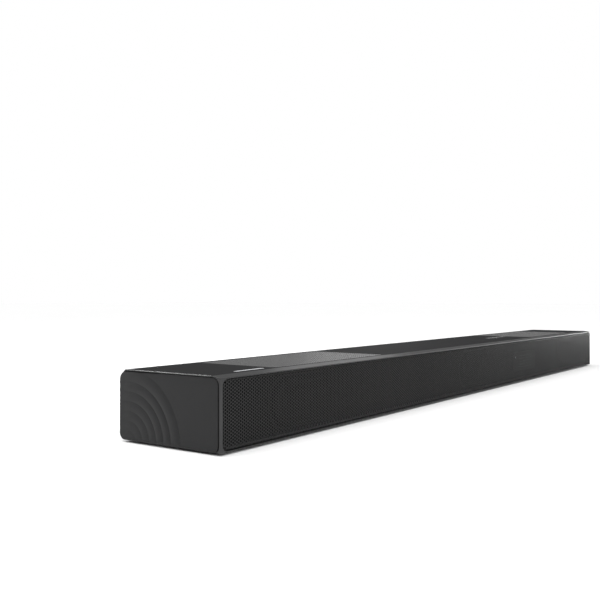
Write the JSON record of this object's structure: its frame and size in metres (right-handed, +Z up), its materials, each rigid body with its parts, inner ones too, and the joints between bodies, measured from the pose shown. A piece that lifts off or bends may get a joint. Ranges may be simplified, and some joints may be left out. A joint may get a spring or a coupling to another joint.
{
  "type": "soundbar",
  "caption": "Long low soundbar with a perforated front, up-firing top sections, rippled end panels, top keys and a rear socket recess.",
  "frame": {"origin": "bottom centre of the bar, on the surface that its feet stand on", "axes": "+X along the bar to the right as seen from the front, the grille faces -Y, +Z up"},
  "size_m": [1, 0.113, 0.0619],
  "materials": {
    "satin_black": "satin black moulded plastic",
    "matte_black": "matte black moulded plastic",
    "grille_black": "black powder-coated perforated steel",
    "plain_steel": "plain zinc-plated steel",
    "magnet_dark": "dark ferrite and plated yoke",
    "rubber_black": "black rubber",
    "cone_paper": "black treated paper cone",
    "board_green": "solder-masked circuit board",
    "smoked": "smoked gloss plastic",
    "aluminium": "extruded aluminium"
  },
  "bodies": {
    "housing": {"aux_socket": "matte_black", "bottom_tray": "matte_black", "centre_driver_basket": "plain_steel", "centre_driver_magnet": "magnet_dark", "centre_driver_surround": "rubber_black", "display_board": "board_green", "display_window": "smoked", "driver_baffle": "matte_black", "front_frame": "satin_black", "front_grille": "grille_black", "front_left_foot": "rubber_black", "front_right_foot": "rubber_black", "hdmi_in_socket": "plain_steel", "hdmi_out_socket": "plain_steel", "heat_sink": "aluminium", "io_plate": "matte_black", "ir_receiver": "smoked", "key_board": "board_green", "left_driver_basket": "plain_steel", "left_driver_magnet": "magnet_dark", "left_driver_surround": "rubber_black", "left_end_panel": "satin_black", "left_height_baffle": "matte_black", "left_height_driver_basket": "plain_steel", "left_height_driver_magnet": "magnet_dark", "left_height_driver_surround": "rubber_black", "left_height_grille": "grille_black", "left_wall_hanger": "plain_steel", "main_board": "board_green", "mains_inlet": "matte_black", "mains_transformer": "plain_steel", "optical_socket": "matte_black", "power_board": "board_green", "rear_left_foot": "rubber_black", "rear_panel": "matte_black", "rear_right_foot": "rubber_black", "reservoir_capacitor": "smoked", "right_driver_basket": "plain_steel", "right_driver_magnet": "magnet_dark", "right_driver_surround": "rubber_black", "right_end_panel": "satin_black", "right_height_baffle": "matte_black", "right_height_driver_basket": "plain_steel", "right_height_driver_magnet": "magnet_dark", "right_height_driver_surround": "rubber_black", "right_height_grille": "grille_black", "right_wall_hanger": "plain_steel", "top_cover": "satin_black", "usb_socket": "plain_steel", "wireless_module": "board_green"},
    "left_driver_cone": {"left_driver_cone": "cone_paper"},
    "centre_driver_cone": {"centre_driver_cone": "cone_paper"},
    "right_driver_cone": {"right_driver_cone": "cone_paper"},
    "left_height_driver_cone": {"left_height_driver_cone": "cone_paper"},
    "right_height_driver_cone": {"right_height_driver_cone": "cone_paper"},
    "power_key": {"power_key": "satin_black"},
    "input_key": {"input_key": "satin_black"},
    "volume_down_key": {"volume_down_key": "satin_black"},
    "volume_up_key": {"volume_up_key": "satin_black"}
  },
  "joints": [
    {"name": "left_driver_cone_travel", "type": "slide", "parent": "housing", "child": "left_driver_cone", "axis": [0, -1, 0], "range_m": [-0.0015, 0.0015], "stiffness_N_per_m": 1500, "deforming": ["left_driver_surround"]},
    {"name": "centre_driver_cone_travel", "type": "slide", "parent": "housing", "child": "centre_driver_cone", "axis": [0, -1, 0], "range_m": [-0.0015, 0.0015], "stiffness_N_per_m": 1500, "deforming": ["centre_driver_surround"]},
    {"name": "right_driver_cone_travel", "type": "slide", "parent": "housing", "child": "right_driver_cone", "axis": [0, -1, 0], "range_m": [-0.0015, 0.0015], "stiffness_N_per_m": 1500, "deforming": ["right_driver_surround"]},
    {"name": "left_height_driver_cone_travel", "type": "slide", "parent": "housing", "child": "left_height_driver_cone", "axis": [0, -0.2588, 0.9659], "range_m": [-0.0015, 0.0015], "stiffness_N_per_m": 1500, "deforming": ["left_height_driver_surround"]},
    {"name": "right_height_driver_cone_travel", "type": "slide", "parent": "housing", "child": "right_height_driver_cone", "axis": [0, -0.2588, 0.9659], "range_m": [-0.0015, 0.0015], "stiffness_N_per_m": 1500, "deforming": ["right_height_driver_surround"]},
    {"name": "power_key_press", "type": "slide", "parent": "housing", "child": "power_key", "axis": [0, 0, -1], "range_m": [0, 0.0006], "stiffness_N_per_m": 800},
    {"name": "input_key_press", "type": "slide", "parent": "housing", "child": "input_key", "axis": [0, 0, -1], "range_m": [0, 0.0006], "stiffness_N_per_m": 800},
    {"name": "volume_down_key_press", "type": "slide", "parent": "housing", "child": "volume_down_key", "axis": [0, 0, -1], "range_m": [0, 0.0006], "stiffness_N_per_m": 800},
    {"name": "volume_up_key_press", "type": "slide", "parent": "housing", "child": "volume_up_key", "axis": [0, 0, -1], "range_m": [0, 0.0006], "stiffness_N_per_m": 800}
  ]
}
